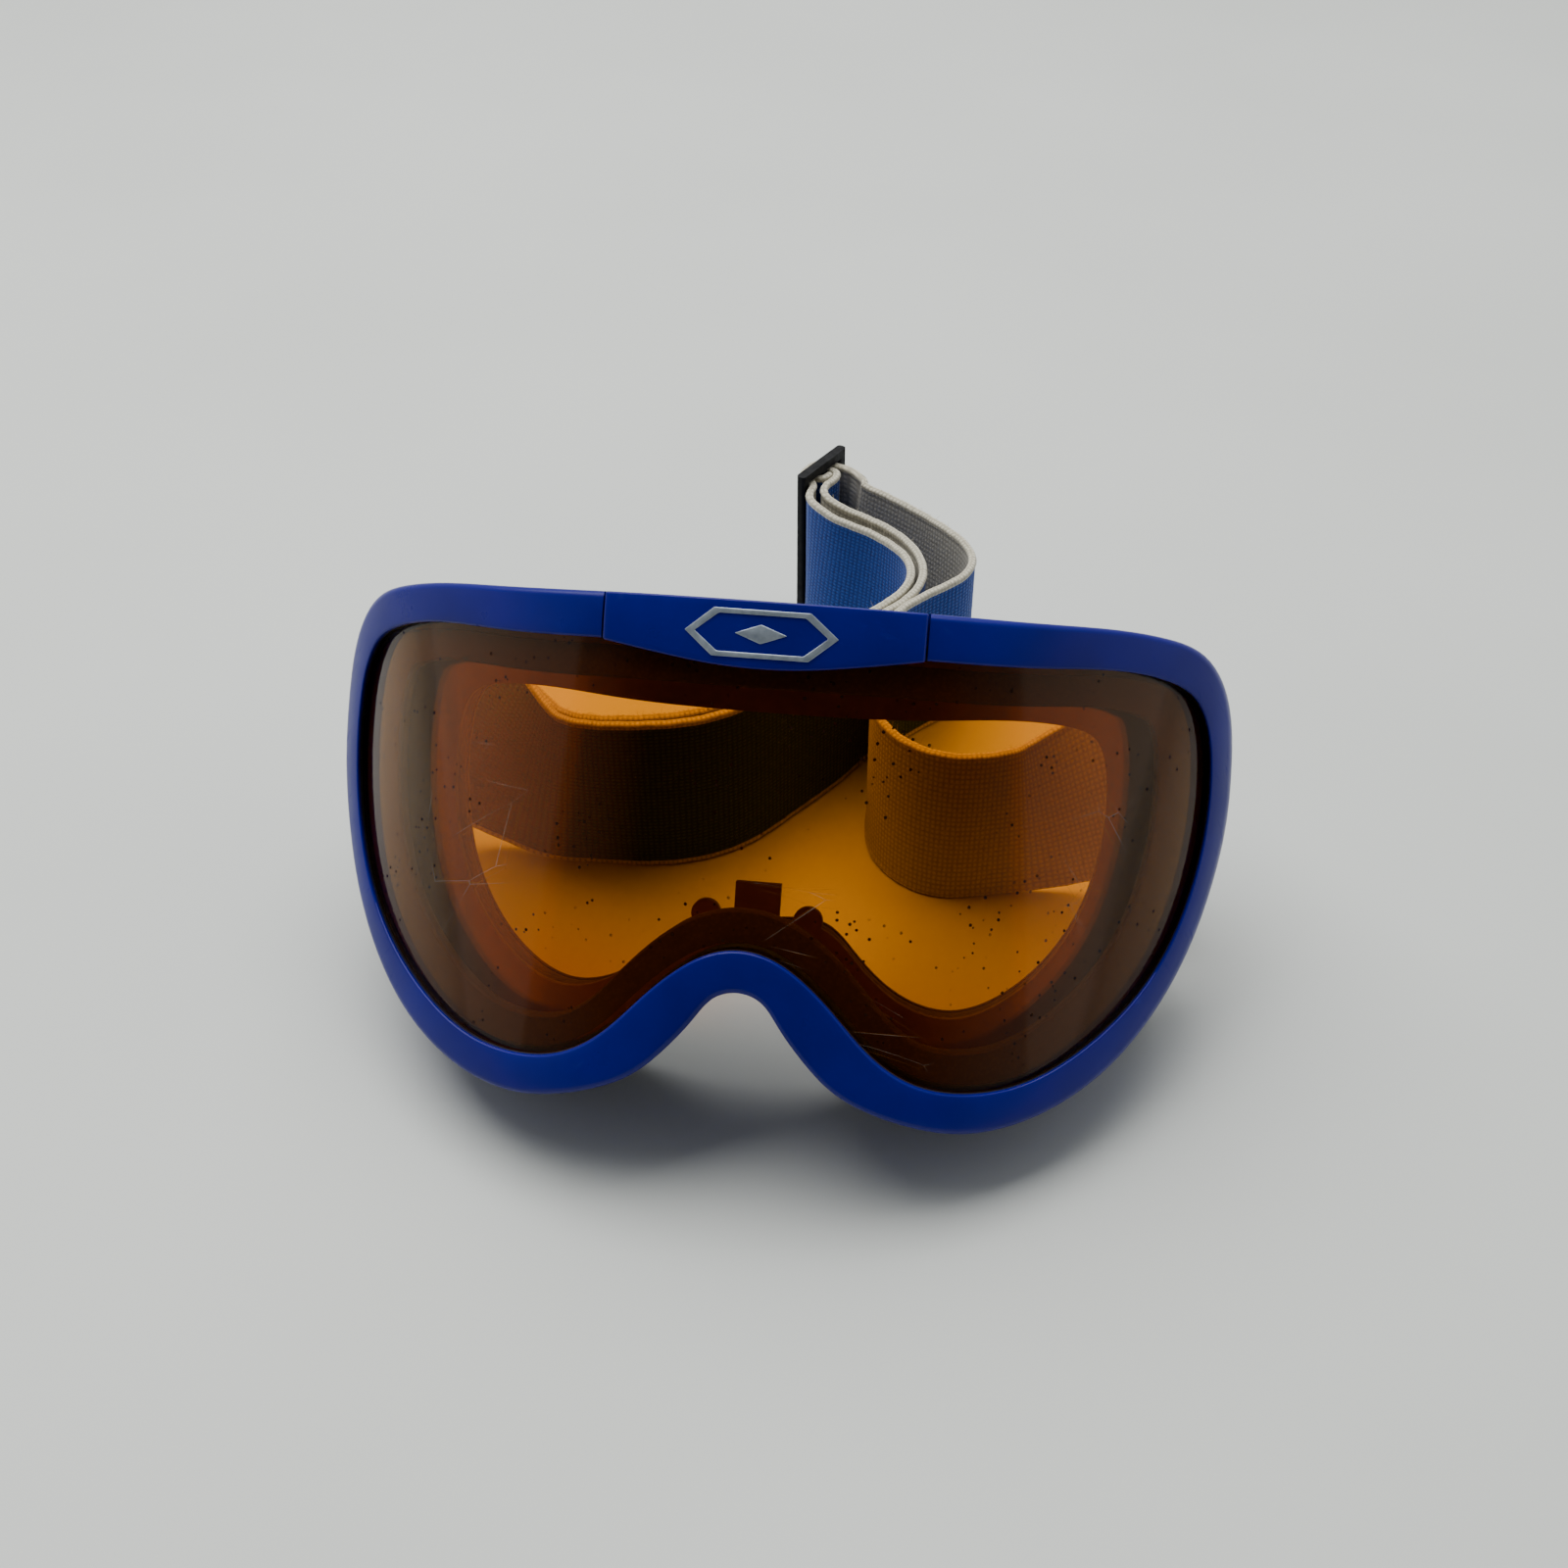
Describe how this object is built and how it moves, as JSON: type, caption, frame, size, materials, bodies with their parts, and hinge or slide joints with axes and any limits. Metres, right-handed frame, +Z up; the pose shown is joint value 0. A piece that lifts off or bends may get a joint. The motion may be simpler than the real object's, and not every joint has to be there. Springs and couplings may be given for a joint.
{
  "type": "ski goggles",
  "caption": "Snow sports goggles with a moulded frame, a double cylindrical lens, face foam and an elastic strap with a slider, resting on a table.",
  "frame": {"origin": "centre of the bounding box at table level", "axes": "+X to the viewer's right across the goggles, +Y backwards to where the strap lies, +Z up"},
  "size_m": [0.177, 0.1986, 0.0987],
  "materials": {
    "frame": "satin moulded blue",
    "brow": "gloss blue",
    "emblem": "silvery print",
    "gasket": "black",
    "lens": "orange polycarbonate",
    "spacer": "dark foam",
    "flange": "black",
    "foam": "open foam",
    "fleece": "soft fleece",
    "vent_foam": "thin open foam",
    "anchor": "black",
    "pin": "brushed",
    "webbing": "blue elastic webbing",
    "slider": "black"
  },
  "bodies": {
    "goggles": {"frame_shell": "frame", "brow_panel": "brow", "brow_emblem": "emblem", "lens_gasket": "gasket", "outer_lens": "lens", "lens_spacer_foam": "spacer", "inner_lens": "lens", "top_vent_foam": "vent_foam", "bottom_vent_foam_left": "vent_foam", "bottom_vent_foam_right": "vent_foam", "face_flange": "flange", "face_foam": "foam", "face_fleece": "fleece", "anchor_pin_left": "pin", "anchor_pin_right": "pin", "strap_running_layer": "webbing", "strap_sewn_layer": "webbing", "strap_single_layer": "webbing", "strap_weave": "webbing", "strap_sewn_loop": "webbing", "strap_lead_left": "webbing", "strap_lead_right": "webbing"},
    "anchor_left": {"strap_anchor_left": "anchor"},
    "anchor_right": {"strap_anchor_right": "anchor"},
    "slider": {"strap_slider": "slider"}
  },
  "joints": [
    {"name": "anchor_left_swivel", "type": "hinge", "parent": "goggles", "child": "anchor_left", "pos_m": [-0.083, -0.01426, 0.03408], "axis": [0, 0.5736, 0.8192], "range_deg": [-15, 50], "deforming": ["strap_lead_left"]},
    {"name": "anchor_right_swivel", "type": "hinge", "parent": "goggles", "child": "anchor_right", "pos_m": [0.083, -0.01426, 0.03408], "axis": [0, -0.5736, -0.8192], "range_deg": [-15, 50], "deforming": ["strap_lead_right"]},
    {"name": "slider_travel", "type": "slide", "parent": "goggles", "child": "slider", "axis": [0.4679, 0.8838, 0], "range_m": [-0.008, 0.006], "deforming": ["strap_weave", "strap_sewn_loop"]}
  ]
}
